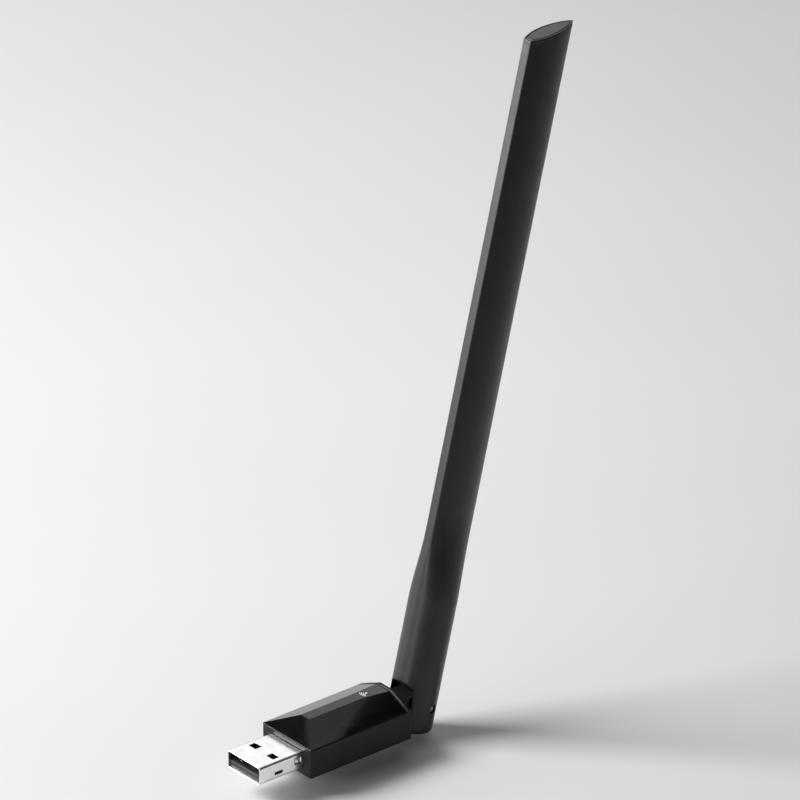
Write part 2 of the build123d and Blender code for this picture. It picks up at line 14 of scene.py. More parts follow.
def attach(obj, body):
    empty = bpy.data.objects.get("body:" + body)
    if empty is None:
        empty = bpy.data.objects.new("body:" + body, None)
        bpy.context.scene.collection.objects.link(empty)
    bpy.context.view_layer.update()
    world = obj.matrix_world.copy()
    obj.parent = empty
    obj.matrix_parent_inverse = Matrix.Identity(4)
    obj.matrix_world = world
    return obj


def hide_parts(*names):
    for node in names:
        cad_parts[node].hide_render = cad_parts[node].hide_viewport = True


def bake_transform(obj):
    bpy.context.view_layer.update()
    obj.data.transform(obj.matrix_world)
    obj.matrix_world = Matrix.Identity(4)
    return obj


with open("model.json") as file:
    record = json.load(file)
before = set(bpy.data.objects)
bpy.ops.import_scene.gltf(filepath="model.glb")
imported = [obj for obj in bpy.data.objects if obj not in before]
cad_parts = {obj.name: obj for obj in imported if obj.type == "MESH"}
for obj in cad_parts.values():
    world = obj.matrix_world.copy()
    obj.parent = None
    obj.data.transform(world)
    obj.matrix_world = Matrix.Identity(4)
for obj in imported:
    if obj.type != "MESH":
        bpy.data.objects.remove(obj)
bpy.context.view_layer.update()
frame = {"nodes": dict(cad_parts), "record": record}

MM = 0.001
scene = bpy.context.scene

# ---- camera ----------------------------------------------------------------------

AZIMUTH = math.radians(-40.0)
ELEVATION = math.radians(26.0)
DISTANCE = 1564.0
AIM = Vector((51.9, 5.3, 76.8))

back = Vector(
    (
        math.sin(AZIMUTH) * math.cos(ELEVATION),
        -math.cos(AZIMUTH) * math.cos(ELEVATION),
        math.sin(ELEVATION),
    )
)
camera_data = bpy.data.cameras.new("camera")
camera_data.lens = 303.0
camera_data.sensor_width = 36.0
camera_data.clip_start = 0.01
camera_data.clip_end = 20.0
camera = bpy.data.objects.new("camera", camera_data)
camera.location = (AIM + back * DISTANCE) * MM
camera.rotation_euler = back.to_track_quat("Z", "Y").to_euler()
scene.collection.objects.link(camera)
scene.camera = camera

# ---- sizes shared with the CAD source ----------------------------------------------

SHELL_WIDTH = 12.0
SHELL_HEIGHT = 4.5
SHELL_CORNER = 0.6
SHELL_WALL = 0.3
SHELL_LENGTH = 18.9
LATCH = (6.2, 3.25, 2.0, 2.5)  # x, distance from the middle, length, width
SIDE_SLOT = (5.7, -0.7, 2.4, 0.8)  # x, z, length, height
LEG_Y = 5.85
BOARD_TOP = -0.36
BOARD_THICK = 1.0
POST_SPOTS = [(x, y) for x in (22.2, 38.8) for y in (-6.4, 6.4)]
POST_R = 1.2
PEG_R = 0.6
PEG_RISE = 0.4

CASE_FRONT = 12.9
CASE_REAR = 43.6
CASE_HALF = 9.0
CASE_BOTTOM = -3.9
CASE_CORNER = 0.5
SEAM_Z = 3.65
INNER_REAR = 42.1
CASE_WALL = 1.2
BAND_ROUND = 0.38
NECK_HALF = 3.05
NECK_LOW = -2.35
NECK_HIGH = 1.65
RIDGE_HALF = 1.5
RIDGE_Z = 6.9
RIDGE_BREAK = 35.0
RIDGE_END_Z = 6.55

PIN = Vector((53.0, 0.0, -1.0))
LEAN = math.radians(14.0)
PIN_R = 0.9
PIN_OUTER = 4.9
RECESS_R = 1.15
ROUND_R = 5.8
ROUND_AXIS = -1.8
SLOT_HALF = 3.95
SLOT_BACK = 2.0
SLOT_CHAMFER = 0.5
SLOT_TOP = 4.4
CHAMFER_FOOT = -5.4
CHAMFER_SLOPE = 0.82
EAR_BOTTOM = -6.2
ROOT_TOP = 7.5
ROUND_TOP = 25.4
BLADE_START = 49.0
TIP_HEIGHT = 168.7
TIP_SLANT = math.radians(19.0)
TIP_SLOPE = math.tan(TIP_SLANT)
BLADE_FRONT = 5.6
BLADE_REAR = 7.6
BLADE_HALF = 2.92
FACET_HALF = 1.25
SLEEVE_WALL = 1.1
CAP_THICK = 0.8
CAP_DEPTH = CAP_THICK / math.cos(TIP_SLANT)
SPIGOT_DEPTH = 4.0
COAX_R = 0.565
CABLE_Z = BOARD_TOP + COAX_R + 0.1
BEND_R = 1.6
BEND_LEAD = 1.5
BEND_START = PIN.x - BEND_LEAD
BEND_TURN = math.pi / 2 - LEAN

# The antenna's own axes: x towards its back, y across, z along it, from the pin.
ANTENNA = Matrix.Translation(PIN) @ Matrix.Rotation(LEAN, 4, "Y")

SLOT_OF = {part["node"]: part["material_slot"] for part in frame["record"]["subparts"]}
BODY_OF = {}
for body_name, body_nodes in frame["record"]["behaviour"]["bodies"].items():
    for node_name in body_nodes:
        BODY_OF[node_name] = body_name

# ---- mesh helpers ------------------------------------------------------------------


def mesh_object(name, points, faces):
    """Closed mesh from points in millimetres, with its normals facing out."""
    mesh = bpy.data.meshes.new(name)
    mesh.from_pydata([Vector(p) * MM for p in points], [], faces)
    obj = bpy.data.objects.new(name, mesh)
    scene.collection.objects.link(obj)
    cleaned(obj, 0.0)
    return obj


def cleaned(obj, flat_degrees=0.5):
    """Merges doubled points, joins faces that lie in one plane and turns normals outwards."""
    work = bmesh.new()
    work.from_mesh(obj.data)
    bmesh.ops.remove_doubles(work, verts=work.verts, dist=0.002 * MM)
    if flat_degrees:
        bmesh.ops.dissolve_limit(
            work,
            angle_limit=math.radians(flat_degrees),
            verts=work.verts,
            edges=work.edges,
        )
    bmesh.ops.recalc_face_normals(work, faces=work.faces)
    work.to_mesh(obj.data)
    work.free()
    return obj


def baked(obj):
    """Turns the modifiers' result into the object's own mesh."""
    graph = bpy.context.evaluated_depsgraph_get()
    result = bpy.data.meshes.new_from_object(
        obj.evaluated_get(graph), preserve_all_data_layers=True, depsgraph=graph
    )
    obj.modifiers.clear()
    old = obj.data
    obj.data = result
    bpy.data.meshes.remove(old)
    return obj


def combined(obj, operation, *others):
    """Boolean of obj with each of the others, which are used up."""
    for other in others:
        step = obj.modifiers.new("boolean", "BOOLEAN")
        step.operation = operation
        step.solver = "EXACT"
        step.object = other
    baked(obj)
    for other in others:
        bpy.data.objects.remove(other)
    return cleaned(obj)


def loft(name, rings, transform=Matrix.Identity(4)):
    """Closed mesh through rings of the same number of points, capped at both ends."""
    count = len(rings[0])
    points = [transform @ Vector(p) for ring in rings for p in ring]
    faces = [list(range(count)), list(range(len(points) - count, len(points)))]
    for level in range(len(rings) - 1):
        for k in range(count):
            a = level * count + k
            b = level * count + (k + 1) % count
            faces.append([a, b, b + count, a + count])
    return mesh_object(name, points, faces)


def block(lo, hi):
    """Box between two corners."""
    corners = ((lo[0], lo[1]), (hi[0], lo[1]), (hi[0], hi[1]), (lo[0], hi[1]))
    return loft("block", [[(x, y, z) for x, y in corners] for z in (lo[2], hi[2])])


def rod(centre, axis, radius, start, end, steps=40, transform=Matrix.Identity(4)):
    """Round bar along Y or Z, through centre, between two places on that axis."""
    rings = []
    for place in (start, end):
        ring = []
        for k in range(steps):
            turn = 2 * math.pi * (k + 0.5) / steps
            u = radius * math.cos(turn)
            v = radius * math.sin(turn)
            if axis == "Y":
                ring.append((centre[0] + u, place, centre[2] + v))
            else:
                ring.append((centre[0] + u, centre[1] + v, place))
        rings.append(ring)
    return loft("rod", rings, transform)


def bevelled(obj, width, degrees=35.0, segments=2, skip=None):
    """Rounds every edge sharper than the given angle, except those whose two ends both pass skip."""
    work = bmesh.new()
    work.from_mesh(obj.data)
    weight = work.edges.layers.float.new("bevel_weight_edge")
    for edge in work.edges:
        sharp = edge.is_manifold and edge.calc_face_angle() > math.radians(degrees)
        left_out = skip and all(skip(end.co / MM) for end in edge.verts)
        edge[weight] = 1.0 if sharp and not left_out else 0.0
    work.to_mesh(obj.data)
    work.free()
    step = obj.modifiers.new("bevel", "BEVEL")
    step.width = width * MM
    step.segments = segments
    step.limit_method = "WEIGHT"
    step.use_clamp_overlap = False
    baked(obj)
    spent = obj.data.attributes.get("bevel_weight_edge")
    if spent:
        obj.data.attributes.remove(spent)
    return obj


def finished(obj, node):
    """Smooth shading that keeps flat faces flat, then the finish, the body and the CAD node it stands for."""
    for polygon in obj.data.polygons:
        polygon.use_smooth = True
    step = obj.modifiers.new("normals", "WEIGHTED_NORMAL")
    step.weight = 80
    step.keep_sharp = True
    baked(obj)
    obj.data.materials.clear()
    obj.data.materials.append(MATERIALS[SLOT_OF[node]])
    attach(obj, BODY_OF[node])
    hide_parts(node)
    return obj


def from_cad(node):
    """Copy of a CAD node's mesh as a new object, with plain faces joined."""
    source = frame["nodes"][node]
    mesh = source.data.copy()
    mesh.transform(source.matrix_world)
    mesh.materials.clear()
    obj = bpy.data.objects.new(node + "_visual", mesh)
    scene.collection.objects.link(obj)
    return cleaned(obj)


# ---- materials ---------------------------------------------------------------------


class Finish:
    """One node material. Its textures follow the piece's own coordinates, in millimetres."""

    def __init__(self, name, roughness, **sockets):
        self.material = bpy.data.materials.new(name)
        self.material.use_nodes = True
        self.tree = self.material.node_tree
        self.shader = self.tree.nodes["Principled BSDF"]
        self.shader.inputs["Roughness"].default_value = roughness
        for socket, value in sockets.items():
            self.shader.inputs[socket.replace("_", " ")].default_value = value
        self.coordinates = self.add("ShaderNodeTexCoord")
        self.geometry = self.add("ShaderNodeNewGeometry")
        self.normal = None

    def add(self, kind, **settings):
        node = self.tree.nodes.new(kind)
        for key, value in settings.items():
            setattr(node, key, value)
        return node

    def link(self, output, socket):
        self.tree.links.new(output, socket)

    def noise(self, size, detail=2.0, stretch=(1, 1, 1), seed=0.0):
        """Noise whose features are about size millimetres across, times stretch along each axis."""
        mapping = self.add("ShaderNodeMapping")
        mapping.inputs["Scale"].default_value = [1 / (MM * size * s) for s in stretch]
        mapping.inputs["Location"].default_value = (seed, seed * 0.7, seed * 1.3)
        texture = self.add("ShaderNodeTexNoise")
        texture.inputs["Scale"].default_value = 1.0
        texture.inputs["Detail"].default_value = detail
        self.link(self.coordinates.outputs["Object"], mapping.inputs["Vector"])
        self.link(mapping.outputs["Vector"], texture.inputs["Vector"])
        return texture.outputs["Fac"]

    def cells(self, size, stretch=(1, 1, 1)):
        """Distance to the nearest of scattered points about size millimetres apart."""
        mapping = self.add("ShaderNodeMapping")
        mapping.inputs["Scale"].default_value = [1 / (MM * size * s) for s in stretch]
        texture = self.add("ShaderNodeTexVoronoi")
        texture.inputs["Scale"].default_value = 1.0
        self.link(self.coordinates.outputs["Object"], mapping.inputs["Vector"])
        self.link(mapping.outputs["Vector"], texture.inputs["Vector"])
        return texture.outputs["Distance"]

    def ranged(self, value, low_in, high_in, low_out, high_out):
        node = self.add("ShaderNodeMapRange")
        node.inputs["From Min"].default_value = low_in
        node.inputs["From Max"].default_value = high_in
        node.inputs["To Min"].default_value = low_out
        node.inputs["To Max"].default_value = high_out
        self.link(value, node.inputs["Value"])
        return node.outputs["Result"]

    def product(self, a, b):
        node = self.add("ShaderNodeMath", operation="MULTIPLY")
        self.link(a, node.inputs[0])
        self.link(b, node.inputs[1])
        return node.outputs["Value"]

    def mixed(self, factor, low, high):
        """Colour between low and high, each a colour or another node's output."""
        node = self.add("ShaderNodeMix", data_type="RGBA")
        for socket, colour in ((node.inputs[6], low), (node.inputs[7], high)):
            if isinstance(colour, tuple):
                socket.default_value = (*colour, 1.0)
            else:
                self.link(colour, socket)
        self.link(factor, node.inputs[0])
        return node.outputs[2]

    def edges(self, radius, strength=1.0):
        """Mask that is 1 along edges and 0 on open faces."""
        bevel = self.add("ShaderNodeBevel", samples=4)
        bevel.inputs["Radius"].default_value = radius * MM
        dot = self.add("ShaderNodeVectorMath", operation="DOT_PRODUCT")
        self.link(bevel.outputs["Normal"], dot.inputs[0])
        self.link(self.geometry.outputs["Normal"], dot.inputs[1])
        return self.ranged(dot.outputs["Value"], 0.995, 0.86, 0.0, strength)

    def bump(self, height, depth, strength=1.0):
        """Adds relief of depth millimetres on top of any relief given before."""
        node = self.add("ShaderNodeBump")
        node.inputs["Distance"].default_value = depth * MM
        node.inputs["Strength"].default_value = strength
        self.link(height, node.inputs["Height"])
        if self.normal is not None:
            self.link(self.normal, node.inputs["Normal"])
        self.normal = node.outputs["Normal"]
        self.link(self.normal, self.shader.inputs["Normal"])

    def colour(self, output):
        self.link(output, self.shader.inputs["Base Color"])

    def roughness(self, output):
        self.link(output, self.shader.inputs["Roughness"])


def plastic(name, dark, light, roughness, spread, grain, depth, worn=None, **sockets):
    """Moulded plastic: fine tool texture, cloudy tone, uneven sheen and lightly polished edges."""
    finish = Finish(name, roughness, **sockets)
    cloud = finish.ranged(finish.noise(7.0, 3.0), 0.35, 0.65, 0.0, 1.0)
    tone = finish.mixed(cloud, dark, light)
    fine = finish.noise(grain, 3.0, seed=3.1)
    sheen = finish.noise(3.2, 4.0, seed=8.4)
    uneven = finish.ranged(sheen, 0.3, 0.7, roughness - spread, roughness + spread)
    if worn:
        edge = finish.edges(0.22)
        patches = finish.ranged(finish.noise(1.1, 3.0), 0.4, 0.65, 0.1, 0.8)
        tone = finish.mixed(finish.product(edge, patches), tone, worn)
    finish.colour(tone)
    finish.roughness(uneven)
    finish.bump(fine, depth)
    return finish


def metal(name, dark, light, roughness, spread, brush, depth, stretch=(18, 1, 1)):
    """Plated or ground metal: fine brush lines, faint tarnish clouds and a painted highlight that makes every
    edge lighter.
    """
    finish = Finish(name, roughness, Metallic=1.0)
    lines = finish.noise(brush, 4.0, stretch=stretch, seed=1.7)
    cloud = finish.ranged(finish.noise(2.6, 4.0), 0.35, 0.68, 0.0, 1.0)
    # painted highlight: every edge is lifted towards a brighter copy of the light tone, standing in for the
    # glint along rounded edges
    edge = finish.edges(0.12, 0.5)
    tone = finish.mixed(cloud, light, dark)
    finish.colour(finish.mixed(edge, tone, tuple(min(1.0, c * 1.15) for c in light)))
    finish.roughness(finish.ranged(lines, 0.25, 0.75, roughness - spread, roughness + spread))
    finish.bump(lines, depth)
    return finish


def make_materials():
    """Every material slot of the record, by name."""
    made = {}
    made["plated_steel"] = metal(
        "plated_steel", (0.82, 0.82, 0.83), (0.95, 0.95, 0.955), 0.24, 0.07, 0.05, 0.0012
    )
    made["tin"] = metal("tin", (0.55, 0.55, 0.53), (0.74, 0.74, 0.71), 0.34, 0.1, 0.08, 0.002)
    made["steel"] = metal(
        "steel", (0.16, 0.16, 0.17), (0.30, 0.30, 0.31), 0.28, 0.08, 0.06, 0.002, (1, 6, 1)
    )
    made["gold"] = metal("gold", (0.66, 0.45, 0.15), (0.86, 0.64, 0.27), 0.24, 0.08, 0.05, 0.001)
    made["copper"] = metal(
        "copper", (0.58, 0.27, 0.15), (0.78, 0.43, 0.26), 0.32, 0.1, 0.09, 0.002, (1, 1, 10)
    )

    case = plastic(
        "case_matte", (0.005, 0.005, 0.0055), (0.009, 0.009, 0.0095), 0.34, 0.05, 0.16, 0.009,
        worn=(0.03, 0.03, 0.032), Specular_IOR_Level=0.22,
    )
    case.bump(case.cells(0.22), 0.004, 0.6)
    made["case_matte"] = case

    antenna = plastic(
        "antenna_matte", (0.007, 0.007, 0.0075), (0.012, 0.012, 0.0125), 0.36, 0.05, 0.14, 0.009,
        worn=(0.04, 0.04, 0.042), Specular_IOR_Level=0.47,
    )
    antenna.bump(antenna.noise(1.4, 2.0, stretch=(1, 1, 14), seed=5.0), 0.006, 0.5)
    made["antenna_matte"] = antenna

    cover = plastic(
        "cover_gloss", (0.002, 0.002, 0.0022), (0.004, 0.004, 0.0043), 0.05, 0.02, 1.6, 0.0008,
        worn=(0.02, 0.02, 0.021), Specular_IOR_Level=0.4,
    )
    cover.bump(cover.noise(0.12, 3.0, stretch=(9, 1, 1), seed=9.0), 0.0004, 0.5)
    made["cover_gloss"] = cover

    made["insulator"] = plastic(
        "insulator", (0.010, 0.010, 0.011), (0.020, 0.020, 0.022), 0.42, 0.08, 0.1, 0.004,
        worn=(0.06, 0.06, 0.063),
    )
    made["chip"] = plastic("chip", (0.014, 0.014, 0.014), (0.026, 0.026, 0.026), 0.5, 0.08, 0.07, 0.004)
    made["ferrite"] = plastic("ferrite", (0.045, 0.045, 0.05), (0.09, 0.09, 0.10), 0.55, 0.1, 0.1, 0.012)
    made["ceramic"] = plastic("ceramic", (0.36, 0.24, 0.13), (0.56, 0.42, 0.27), 0.4, 0.08, 0.12, 0.004)
    made["pad"] = plastic("pad", (0.42, 0.47, 0.55), (0.56, 0.61, 0.69), 0.6, 0.1, 0.25, 0.02)
    made["nylon"] = plastic("nylon", (0.016, 0.016, 0.017), (0.027, 0.027, 0.029), 0.36, 0.08, 0.2, 0.006)
    made["cable"] = plastic("cable", (0.010, 0.010, 0.011), (0.016, 0.016, 0.017), 0.3, 0.06, 0.3, 0.004)

    board = plastic(
        "board", (0.006, 0.075, 0.032), (0.012, 0.125, 0.055), 0.3, 0.08, 0.3, 0.003, Coat_Weight=0.3
    )
    tracks = board.ranged(board.cells(1.1, (2.2, 0.6, 2.2)), 0.30, 0.34, 0.0, 1.0)
    board.bump(tracks, 0.02, 0.7)
    made["board"] = board

    made["printed_mark"] = plastic(
        "printed_mark", (0.70, 0.71, 0.72), (0.80, 0.81, 0.82), 0.4, 0.08, 0.08, 0.002
    )
    return {name: finish.material for name, finish in made.items()}


MATERIALS = make_materials()

# ---- plug ----------------------------------------------------------------------------


def rounded_outline(width, height, corner, steps=6):
    """Points round a rectangle with rounded corners, as (y, z)."""
    points = []
    for quarter, (side, up) in enumerate(((1, 1), (-1, 1), (-1, -1), (1, -1))):
        for k in range(steps + 1):
            turn = math.pi / 2 * (quarter + k / steps)
            y = side * (width / 2 - corner) + corner * math.cos(turn)
            z = up * (height / 2 - corner) + corner * math.sin(turn)
            points.append((y, z))
    return points


def shell_ring(x, inset):
    """Ring of the shell's outline at x, shrunk by inset."""
    outline = rounded_outline(
        SHELL_WIDTH - 2 * inset, SHELL_HEIGHT - 2 * inset, max(SHELL_CORNER - inset, 0.12)
    )
    return [(x, y, z) for y, z in outline]


def sheet_tube(name, length):
    """Tube of sheet metal with rounded ends: outside forwards to back, then inside back to front."""
    lip = 0.09
    rings = [
        shell_ring(lip, 0.0),
        shell_ring(length - lip, 0.0),
        shell_ring(length, lip),
        shell_ring(length, SHELL_WALL - lip),
        shell_ring(length - lip, SHELL_WALL),
        shell_ring(lip * 2, SHELL_WALL),
        shell_ring(0.03, SHELL_WALL - lip * 0.8),
        shell_ring(0.0, SHELL_WALL * 0.5),
        shell_ring(0.03, lip * 0.4),
    ]
    count = len(rings[0])
    points = [p for ring in rings for p in ring]
    faces = []
    for level in range(len(rings)):
        after = (level + 1) % len(rings)
        for k in range(count):
            j = (k + 1) % count
            faces.append([level * count + k, level * count + j, after * count + j, after * count + k])
    return mesh_object(name, points, faces)


def make_shell():
    """Plug shell: folded sheet with latch windows, side slots, a seam below and dimpled spring tabs."""
    shell = sheet_tube("usb_shell_visual", SHELL_LENGTH)
    cutters = []
    x, y, length, width = LATCH
    for side in (-1, 1):
        lo = (x - length / 2, side * y - width / 2, -SHELL_HEIGHT)
        hi = (x + length / 2, side * y + width / 2, SHELL_HEIGHT)
        cutters.append(block(lo, hi))
    x, z, length, height = SIDE_SLOT
    lo = (x - length / 2, -SHELL_WIDTH, z - height / 2)
    hi = (x + length / 2, SHELL_WIDTH, z + height / 2)
    cutters.append(block(lo, hi))
    # the folded sheet's joint, along the middle of the underside
    seam_half = 0.06
    seam_end = CASE_FRONT - 2.5
    seam_depth = -SHELL_HEIGHT / 2 + SHELL_WALL / 2
    cutters.append(block((-1, -seam_half, -SHELL_HEIGHT), (seam_end, seam_half, seam_depth)))
    # windows round the spring tabs, one in each side face
    tab_x, tab_z, tab_half = 11.4, 0.3, 0.95
    window = tab_half * 0.9
    lo = (tab_x - tab_half, -SHELL_WIDTH, tab_z - window)
    hi = (tab_x + tab_half, SHELL_WIDTH, tab_z + window)
    cutters.append(block(lo, hi))
    combined(shell, "DIFFERENCE", *cutters)
    bevelled(shell, 0.05, 40.0, 2)
    tabs = []
    for side in (-1, 1):
        inner = side * (SHELL_WIDTH / 2 - SHELL_WALL * 0.95)
        outer = side * (SHELL_WIDTH / 2 - SHELL_WALL * 0.35)
        lo = (tab_x - 0.62, min(inner, outer), tab_z - 0.55)
        hi = (tab_x + tab_half + 0.3, max(inner, outer), tab_z + 0.55)
        tabs.append(bevelled(block(lo, hi), 0.07, 40.0, 2))
        # a pressed dimple: a low dome on the tab
        rings = []
        around = [2 * math.pi * j / 24 for j in range(24)]
        for k in range(6):
            turn = math.pi / 2 * k / 5.5
            radius = 0.38 * math.cos(turn)
            place = outer + side * 0.17 * math.sin(turn)
            circle = [(radius * math.cos(a), radius * math.sin(a)) for a in around]
            rings.append([(tab_x + u, place, tab_z + v) for u, v in circle])
        rings.insert(0, [(px, outer - side * 0.05, pz) for px, _, pz in rings[0]])
        tabs.append(loft("dimple", rings))
    # the solder legs, which pass through the circuit board
    for side in (-1, 1):
        lo = (SHELL_LENGTH - 0.6, side * LEG_Y - SHELL_WALL / 2, BOARD_TOP - 1.6)
        hi = (SHELL_LENGTH + 2.0, side * LEG_Y + SHELL_WALL / 2, BOARD_TOP + 0.8)
        tabs.append(bevelled(block(lo, hi), 0.05, 40.0, 2))
    for tab in tabs:
        step = shell.modifiers.new("join", "BOOLEAN")
        step.operation = "UNION"
        step.solver = "EXACT"
        step.object = tab
    baked(shell)
    for tab in tabs:
        bpy.data.objects.remove(tab)
    return finished(cleaned(shell, 0.2), "usb_shell")


# ---- casing ----------------------------------------------------------------------------


def make_casing():
    """Lower tray with rounded corners, an end band up to the roof, posts, and a gap along the seam."""
    middle = (CASE_FRONT + CASE_REAR) / 2
    around = rounded_outline(CASE_REAR - CASE_FRONT, 2 * CASE_HALF, CASE_CORNER)
    casing = loft(
        "lower_casing_visual", [[(middle + x, y, z) for x, y in around] for z in (CASE_BOTTOM, RIDGE_Z + 1)]
    )
    above = block((CASE_FRONT - 1, -CASE_HALF - 1, SEAM_Z), (INNER_REAR, CASE_HALF + 1, RIDGE_Z + 2))
    # what lies over the end band, with the band's rear edge rounded off
    slope = (RIDGE_Z - SEAM_Z) / (CASE_HALF - RIDGE_HALF)
    flat_half = CASE_HALF - (RIDGE_END_Z - SEAM_Z) / slope
    places = [(INNER_REAR - 1, 0.0)]
    for k in range(5):
        turn = math.pi / 2 * k / 4
        places.append((CASE_REAR - BAND_ROUND * (1 - math.sin(turn)), BAND_ROUND * (1 - math.cos(turn))))
    places.append((CASE_REAR + 1, BAND_ROUND))
    rings = []
    for x, drop in places:
        low = SEAM_Z - slope - drop
        top = RIDGE_END_Z - drop
        high = RIDGE_Z + 3
        half = CASE_HALF + 1
        roof = ((-half, low), (-flat_half, top), (flat_half, top), (half, low), (half, high), (-half, high))
        rings.append([(x, y, z) for y, z in roof])
    over = loft("over", rings)
    inside = CASE_HALF - CASE_WALL
    floor_z = CASE_BOTTOM + CASE_WALL
    hollow = block((CASE_FRONT + CASE_WALL, -inside, floor_z), (INNER_REAR, inside, RIDGE_Z))
    opening = rounded_outline(SHELL_WIDTH + 0.1, SHELL_HEIGHT + 0.1, SHELL_CORNER)
    ends = (CASE_FRONT - 1, CASE_FRONT + CASE_WALL + 0.5)
    mouth = loft("mouth", [[(x, y, z) for y, z in opening] for x in ends])
    neck = block((INNER_REAR - 1, -NECK_HALF, NECK_LOW), (CASE_REAR + 1, NECK_HALF, NECK_HIGH))
    combined(casing, "DIFFERENCE", above, over, hollow, mouth, neck)
    posts = []
    board_under = BOARD_TOP - BOARD_THICK
    for x, y in POST_SPOTS:
        posts.append(rod((x, y, 0), "Z", POST_R, floor_z - 0.3, board_under))
        posts.append(rod((x, y, 0), "Z", PEG_R, floor_z - 0.15, board_under + BOARD_THICK + PEG_RISE, 24))
    combined(casing, "UNION", *posts)
    gap = 0.14
    gap_floor = SEAM_Z - 0.22
    ring = block((CASE_FRONT - 1, -CASE_HALF - 1, gap_floor), (INNER_REAR, CASE_HALF + 1, SEAM_Z + 0.6))
    core_half = CASE_HALF - gap
    core = block((CASE_FRONT + gap, -core_half, SEAM_Z - 1), (INNER_REAR + 1, core_half, SEAM_Z + 1))
    combined(ring, "DIFFERENCE", core)
    combined(casing, "DIFFERENCE", ring)

    def left_sharp(p):
        near = 0.05
        within = CASE_FRONT + CASE_WALL - near < p.x < INNER_REAR + near and abs(p.y) < inside + near
        at_neck_height = NECK_LOW - near < p.z < NECK_HIGH + near
        in_neck_hole = at_neck_height and abs(p.y) < NECK_HALF + near and p.x > INNER_REAR
        return within or in_neck_hole or p.z > gap_floor - near

    bevelled(casing, 0.18, 42.0, 3, skip=left_sharp)

    def off_gap(p):
        return abs(p.z - gap_floor) > 0.02 or (p.x > CASE_FRONT + 0.1 and abs(p.y) < CASE_HALF - 0.1)

    bevelled(casing, 0.06, 42.0, 2, skip=off_gap)
    return finished(casing, "lower_casing")


def make_cover():
    """Faceted gloss cover with softened facet edges."""
    cover = from_cad("top_cover")
    bevelled(cover, 0.13, 18.0, 3)
    return finished(cover, "top_cover")


def make_mark():
    """Printed mark on the ridge: a dot with three arcs over it, a generic sign for wireless."""
    slope = math.atan2(RIDGE_Z - RIDGE_END_Z, INNER_REAR - RIDGE_BREAK)
    centre_x = 36.5
    top = RIDGE_Z - (centre_x - RIDGE_BREAK) * math.tan(slope)
    place = Matrix.Translation((centre_x, 0, top)) @ Matrix.Rotation(slope, 4, "Y")
    low, high = -0.02, 0.015
    work = bmesh.new()

    def strip(inner, outer, half_turn, steps):
        rows = []
        for k in range(steps + 1):
            turn = math.pi + half_turn * (2 * k / steps - 1)
            direction = Vector((math.cos(turn), math.sin(turn), 0))
            rows.append(
                [
                    work.verts.new((place @ (direction * radius + Vector((0.6, 0, level)))) * MM)
                    for radius, level in ((inner, low), (outer, low), (outer, high), (inner, high))
                ]
            )
        closed = half_turn >= math.pi
        for k in range(steps):
            a, b = rows[k], rows[k + 1]
            for j in range(4):
                work.faces.new((a[j], a[(j + 1) % 4], b[(j + 1) % 4], b[j]))
        if not closed:
            work.faces.new(rows[0][::-1])
            work.faces.new(rows[-1])

    strip(0.02, 0.29, math.pi, 20)
    for radius in (0.6, 1.02, 1.44):
        strip(radius, radius + 0.2, math.radians(48), 16)
    bmesh.ops.remove_doubles(work, verts=work.verts, dist=0.0005 * MM)
    bmesh.ops.recalc_face_normals(work, faces=work.faces)
    mesh = bpy.data.meshes.new("printed_mark")
    work.to_mesh(mesh)
    work.free()
    mark = bpy.data.objects.new("printed_mark", mesh)
    scene.collection.objects.link(mark)
    mark.data.materials.append(MATERIALS["printed_mark"])
    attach(mark, "adapter")
    return mark


# ---- antenna ---------------------------------------------------------------------------


def blade_half(x, front, rear, half, facet):
    """Half thickness of the blade at x: a lens with a narrow flat front edge."""
    if x < 0:
        return half - (half - facet) * (-x / front) ** 2.1
    return half * max(0, 1 - (x / rear) ** 2) ** 0.75


def outline_point(share, blend, inset):
    """Point on the antenna's outline, from the front facet's edge at 0 to the rear edge at 1."""
    radius = ROUND_R - inset
    front = BLADE_FRONT - inset
    rear = BLADE_REAR - 1.4 * inset
    turn = math.radians(176.5 * (1 - share))
    blade_x = -front + (front + rear) * (1 - math.cos(math.pi * share)) / 2
    blade_y = blade_half(blade_x, front, rear, BLADE_HALF - inset, FACET_HALF - 0.45 * inset)
    x = ROUND_AXIS + radius * math.cos(turn) * (1 - blend) + blade_x * blend
    y = radius * math.sin(turn) * (1 - blend) + blade_y * blend
    return Vector((x, y))


SIDE_SHARES = [0.06 + 0.94 * k / 26 for k in range(26)]


def outline(blend, inset):
    """Closed outline of the antenna as (x, y), its facet's edges slightly rounded."""
    crease = outline_point(0.0, blend, inset)
    flat = Vector((crease.x, crease.y * 0.8))
    first = outline_point(SIDE_SHARES[0], blend, inset)
    side = [flat]
    for t in (0.25, 0.5, 0.75):
        side.append(flat * (1 - t) ** 2 + crease * 2 * t * (1 - t) + first * t * t)
    side += [outline_point(share, blend, inset) for share in SIDE_SHARES]
    tip = outline_point(1.0, blend, inset)
    mirrored = [Vector((p.x, -p.y)) for p in reversed(side)]
    return side + [Vector((tip.x, 0.0))] + mirrored


def blend_at(height):
    """How far the section has turned from round to blade at a height."""
    t = min(1.0, max(0.0, (height - ROUND_TOP) / (BLADE_START - ROUND_TOP)))
    return t * t * (3 - 2 * t)


def level_ring(height, inset=0.0):
    """Ring square across the antenna."""
    return [(p.x, p.y, height) for p in outline(blend_at(height), inset)]


def slanted_ring(drop, inset=0.0):
    """Ring along the tip's slant, drop below its surface."""
    middle = TIP_HEIGHT - (BLADE_REAR + ROUND_AXIS) * TIP_SLOPE
    return [(p.x, p.y, middle + p.x * TIP_SLOPE - drop) for p in outline(1.0, inset)]


